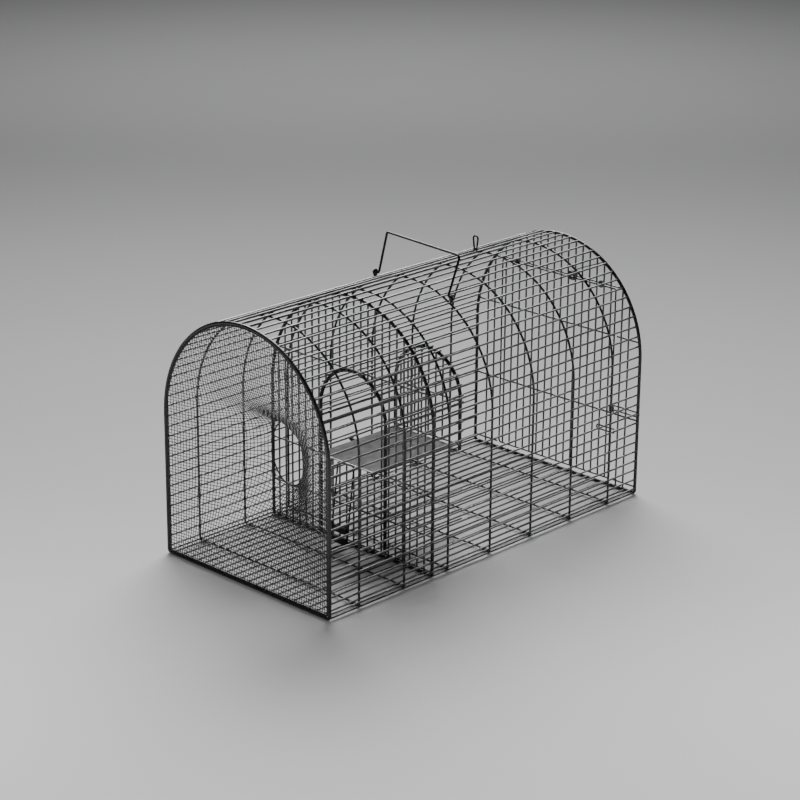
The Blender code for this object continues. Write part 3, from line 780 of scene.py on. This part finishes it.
def rear_wall(materials, arch):
    mats = [materials["wire"], materials["weld"], materials["hoop"]]
    low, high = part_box("rear_cap_grille")
    rail_wire = high.y - low.y
    rail_z = low.z + rail_wire / 2
    piece = Piece("rear_cap_round", mats)
    piece.wire([(low.x, arch.y, rail_z), (0, arch.y, rail_z), (high.x, arch.y, rail_z)],
               rail_wire * SLIM, 14, slot=2)
    for side in (-1, 1):
        piece.weld((side * high.x, arch.y, rail_z), rail_wire * 1.4)
    for x in bar_places(0, 7):
        top = arch.under(x) + BITE
        bar(piece, x, arch.y - rail_wire * 0.6, rail_z - 0.001, top, x * 600 + 2)
        piece.weld((x, arch.y - rail_wire * 0.5, rail_z), THIN * 1.4)
    piece.done("cage", "rear_cap_grille")
    door_low, door_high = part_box("rear_door")
    foot = arch.bottom + arch.wire - BITE
    uprights = [door_high.x + beside for beside in REAR_STRIP]
    for name, side in (("rear_left_grille", -1), ("rear_right_grille", 1)):
        low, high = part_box(name)
        inner = min(abs(low.x), abs(high.x)) + 0.0003
        piece = Piece(f"{name}_round", mats)
        for x in uprights:
            bar(piece, side * x, arch.y - THIN * 0.4, foot, arch.under(x) + BITE, x * 500)
            piece.weld((side * x, arch.y, foot + 0.0004), THIN * 1.4)
        for z in (door_low.z + DOOR_WIRE / 2, *REAR_CROSS_Z):
            reach = arch.reach(z) + BITE
            ends = sorted((side * inner, side * reach))
            cross_wire(piece, *ends, arch.y + THIN * 0.4, z, CROSS_WIRE, 2)
            piece.weld((side * reach, arch.y, z), THIN * 1.5)
            for x in uprights:
                piece.weld((side * x, arch.y, z), THIN * 1.25)
        piece.done("cage", name)


def door(materials, arch):
    low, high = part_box("rear_door")
    half = high.x - DOOR_WIRE / 2
    bottom, top = low.z + DOOR_WIRE / 2, high.z - DOOR_WIRE / 2
    y = (low.y + high.y) / 2
    mats = [materials["wire"], materials["weld"], materials["hoop"]]
    piece = Piece("rear_door_round", mats)
    bend = 0.003
    outline = []
    for side_x, side_z, start in ((1, -1, -pi / 2), (1, 1, 0), (-1, 1, pi / 2), (-1, -1, pi)):
        centre_z = (top - bend) if side_z > 0 else (bottom + bend)
        outline += arc(side_x * (half - bend), centre_z, bend, start, start + pi / 2, 4)
    piece.wire(at_y(outline, y), DOOR_WIRE * SLIM, 14, closed=True, slot=2)
    before, behind = y - THIN * 0.4, y + THIN * 0.4
    for x in bar_places(0, 7):
        bar(piece, x, before, bottom, top, x * 300 + 8)
        for z in (bottom, *REAR_CROSS_Z, top):
            piece.weld((x, y, z), THIN * 1.3)
    for z in REAR_CROSS_Z:
        cross_wire(piece, -half, half, behind, z, CROSS_WIRE, 2)
    piece.done("door", "rear_door")

    cap_low, cap_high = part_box("rear_cap_grille")
    rail_z = cap_low.z + (cap_high.y - cap_low.y) / 2
    for name in ("door_clip_left", "door_clip_right"):
        low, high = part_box(name)
        centre = (low + high) / 2
        wire = THIN
        wide, tall = (high.y - low.y - wire) / 2, (high.z - low.z - wire) / 2
        piece = Piece(f"{name}_round", [materials["spring"]])
        points = []
        turns, steps = 2, 20
        for step in range(turns * steps + 1):
            angle = 2 * pi * step / steps
            z = centre.z + (tall - wide) * (1 if sin(angle) > 0 else -1) + wide * sin(angle)
            x = centre.x - wire * 0.9 + wire * 1.8 * step / (turns * steps)
            points.append((x, centre.y + wide * cos(angle), z))
        piece.wire(points, wire, 10)
        piece.done("door", name)
    latch_and_pull(materials)
    door_spring(materials, arch, rail_z)


def latch_and_pull(materials):
    mats = [materials["hoop"], materials["weld"]]
    low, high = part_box("door_latch")
    wire = 0.0018
    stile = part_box("rear_door")[1].x - DOOR_WIRE / 2
    stile_y = middle("rear_door").y
    y = high.y - wire / 2 - 0.0001
    bend = 0.0026
    centre = 0.09175
    outline = arc(high.x - wire / 2 - bend, centre, bend, -pi / 2, pi / 2, 8)
    points = [(stile, y - 0.0008, centre - bend), (stile + 0.004, y, centre - bend)]
    points += at_y(outline, y)
    points += [(stile + 0.004, y, centre + bend), (stile, y - 0.0008, centre + bend)]
    piece = Piece("door_latch_round", mats)
    piece.wire(points, wire, 12)
    coil, coil_wire = DOOR_WIRE / 2 + 0.0011, 0.0016
    coils = []
    turns = int((high.z - low.z - coil_wire) / (coil_wire * 1.05))
    for step in range(turns * 16 + 1):
        angle = 2 * pi * step / 16
        rise = (high.z - low.z - coil_wire) * step / turns / 16
        coils.append((stile + coil * cos(angle), stile_y + coil * sin(angle),
                      low.z + coil_wire / 2 + rise))
    piece.wire(coils, coil_wire, 10)
    piece.done("latch", "door_latch")

    low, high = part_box("door_pull")
    bend = (high.z - low.z - wire) / 2
    centre = (high.z + low.z) / 2
    y = (low.y + high.y) / 2
    outline = [(high.x, low.z + wire / 2)]
    outline += arc(low.x + wire / 2 + bend, centre, bend, 3 * pi / 2, pi / 2, 8)
    outline += [(high.x, high.z - wire / 2)]
    piece = Piece("door_pull_round", mats)
    piece.wire(at_y(outline, y), wire, 12)
    for z in (low.z + wire / 2, high.z - wire / 2):
        piece.weld((stile, y - wire * 0.4, z), wire * 1.3)
    piece.done("door", "door_pull")


def door_spring(materials, arch, rail_z):
    low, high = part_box("door_spring")
    wire, coil, turns, steps = 0.0012, 0.0048, 4, 20
    start_x, length = low.x + wire / 2, 0.0054
    points = []
    for step in range(turns * steps + steps // 4 + 1):
        angle = 2 * pi * step / steps
        points.append((start_x + length * step / (turns * steps),
                       arch.y + coil * cos(angle), rail_z + coil * sin(angle)))
    end_x = points[-1][0]
    outside = arch.y + arch.wire / 2 + 0.0010
    points += [(end_x + 0.0006, arch.y + 0.0022, rail_z + 0.0068),
               (end_x + 0.0040, outside, rail_z + 0.0085),
               (high.x - wire / 2, outside, high.z - wire / 2)]
    piece = Piece("door_spring_round", [materials["spring"]])
    piece.wire(points, wire, 8)
    piece.done("cage", "door_spring")


# ---------------------------------------------------------------- roof fittings

def roof_fittings(materials):
    mats = [materials["hoop"], materials["weld"]]
    left, right = middle("handle_eye_left"), middle("handle_eye_right")
    along = (right - left).normalized()
    origin = (left + right) / 2
    up = Y * sin(HANDLE_LEAN) + along.cross(Y) * cos(HANDLE_LEAN)
    wire, bend = 0.0026, 0.005
    half = (right - left).length / 2 - 0.005
    rear_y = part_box("carry_handle")[1].y - wire / 2
    reach = (rear_y - origin.y) / sin(HANDLE_LEAN) * HANDLE_SHARE
    top = half + HANDLE_SPLAY
    path = [(half + 0.008, 0), (half + 0.0025, 0), (half + 0.0006, 0.0006), (half, 0.0025)]
    path += arc(top - bend, reach - bend, bend, 0, pi / 2, 6)
    path += arc(0.0015 - top, reach - 0.0015, 0.0015, pi / 2, pi, 3)
    path += [(-half, 0.0025), (-half - 0.0006, 0.0006), (-half - 0.0025, 0),
             (-half - 0.008, 0)]
    piece = Piece("carry_handle_round", mats)
    piece.wire([origin + along * x + up * rise for x, rise in path], wire, 14)
    piece.done("handle", "carry_handle")
    for name in ("handle_eye_left", "handle_eye_right"):
        low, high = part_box(name)
        centre = (low + high) / 2
        eye = high.x - low.x
        radius = (high.z - low.z - eye) / 2
        piece = Piece(f"{name}_round", mats)
        loop = arc(centre.y, centre.z, radius, 0, 2 * pi, 24)[:-1]
        piece.wire([(centre.x, y, z) for y, z in loop], eye, 12, closed=True)
        for shift in (-1, 1):
            piece.weld((centre.x, centre.y + shift * radius * 0.5, low.z + 0.0002), eye * 1.2)
        piece.done("cage", name)
    low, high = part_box("roof_eye")
    wire = high.y - low.y
    y = (low.y + high.y) / 2
    half = (high.x - low.x - wire) / 2
    x = (low.x + high.x) / 2
    loop = [(x + half * 0.55, low.z + wire * 0.4)]
    loop += arc(x, high.z - wire / 2 - half, half, -0.25, pi + 0.25, 16)
    loop += [(x - half * 0.55, low.z + wire * 0.4)]
    piece = Piece("roof_eye_round", mats)
    piece.wire(at_y(loop, y), wire * 0.92, 12)
    for side in (-1, 1):
        piece.weld((x + side * half * 0.55, y, low.z + wire * 0.2), wire * 1.35)
    piece.done("cage", "roof_eye")


# ---------------------------------------------------------------- stage

def add_light(name, at, target, size, power, spread=180):
    data = bpy.data.lights.new(name, "AREA")
    data.spread = spread * pi / 180
    data.shape = "RECTANGLE"
    data.size, data.size_y = size
    data.energy = power
    item = bpy.data.objects.new(name, data)
    item.location = at
    item.rotation_euler = (Vector(target) - Vector(at)).to_track_quat("-Z", "Y").to_euler()
    bpy.context.scene.collection.objects.link(item)


def stage(ground):
    bm = bmesh.new()
    reach = 12.0
    bmesh.ops.create_grid(bm, x_segments=1, y_segments=1, size=reach)
    mesh = bpy.data.meshes.new("stage_floor")
    bm.to_mesh(mesh)
    bm.free()
    item = bpy.data.objects.new("stage_floor", mesh)
    item.location.z = ground
    bpy.context.scene.collection.objects.link(item)
    material = bpy.data.materials.new("stage_paper")
    material.use_nodes = True
    tree = material.node_tree
    shader = tree.nodes["Principled BSDF"]
    shader.inputs["Roughness"].default_value = 0.8
    shader.inputs["Specular IOR Level"].default_value = 0.15
    place = tree.nodes.new("ShaderNodeTexCoord").outputs["Object"]
    tint = noise_ramp(tree, place, 0.8, [(0.3, 0.56), (0.7, 0.59)])[1]
    tree.links.new(tint, shader.inputs["Base Color"])
    mesh.materials.append(material)

    world = bpy.data.worlds.new("studio")
    world.use_nodes = True
    background = world.node_tree.nodes["Background"]
    background.inputs["Color"].default_value = (0.80, 0.81, 0.83, 1)
    background.inputs["Strength"].default_value = 0.11
    bpy.context.scene.world = world
    add_light("key_behind", (-1.3, 1.35, 2.7), (2.1, -2.1, 0), (2.6, 2.6), 80, 75)
    add_light("backdrop", (-1.6, 1.65, 1.7), (-1.4, 1.45, 0), (2.0, 1.0), 9, 120)
    add_light("left_fill", (-0.12, -0.78, 0.5), (-0.04, -0.62, 0), (0.4, 0.4), 0.55, 100)
    add_light("right_fill", (0.75, 0.06, 0.5), (0.6, 0.03, 0), (0.4, 0.4), 0.55, 100)


def camera():
    data = bpy.data.cameras.new("view")
    data.lens = LENS_MM
    data.sensor_width = SENSOR_MM
    item = bpy.data.objects.new("view", data)
    forward = Vector((-sin(CAMERA_YAW) * cos(CAMERA_PITCH),
                      cos(CAMERA_YAW) * cos(CAMERA_PITCH), -sin(CAMERA_PITCH)))
    right = forward.cross(Z).normalized()
    up = right.cross(forward)
    rolled = right * cos(CAMERA_ROLL) + up * sin(CAMERA_ROLL)
    up = rolled.cross(forward)
    turn = Matrix((rolled, up, -forward)).transposed()
    item.matrix_world = Matrix.Translation(CAMERA_AT) @ turn.to_4x4()
    bpy.context.scene.collection.objects.link(item)
    bpy.context.scene.camera = item


def main():
    for item in list(bpy.data.objects):
        bpy.data.objects.remove(item, do_unlink=True)
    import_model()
    cad_box = [list(corner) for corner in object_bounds()]
    camera()
    materials = make_materials()
    front = Arch("front_frame", FRAME_WIRE)
    part = Arch("partition_frame", FRAME_WIRE)
    rear = Arch("rear_frame", FRAME_WIRE)
    ribs = [Arch(f"rib_{index}", RIB_WIRE) for index in range(1, 8)]
    hoops = sorted([front, part, rear] + ribs, key=lambda hoop: hoop.y)
    low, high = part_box("floor_wires")
    pitch = (high.x - low.x - THIN) / (FLOOR_COUNT - 1)
    closed_hoop(front, materials)
    closed_hoop(part, materials)
    closed_hoop(rear, materials)
    for rib in ribs:
        hooked_rib(rib, materials)
    skin(materials, hoops, pitch)
    floor(materials, hoops)
    arch_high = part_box("throat_front_arch")[1]
    throat_radius = arch_high.x - THROAT_WIRE / 2
    partition(materials, part, throat_radius, arch_high.z - arch_high.x)
    throat(materials)
    tilting_plate(materials)
    woven_funnel(materials)
    rear_wall(materials, rear)
    door(materials, rear)
    roof_fittings(materials)
    stage(cad_box[0][2])


main()
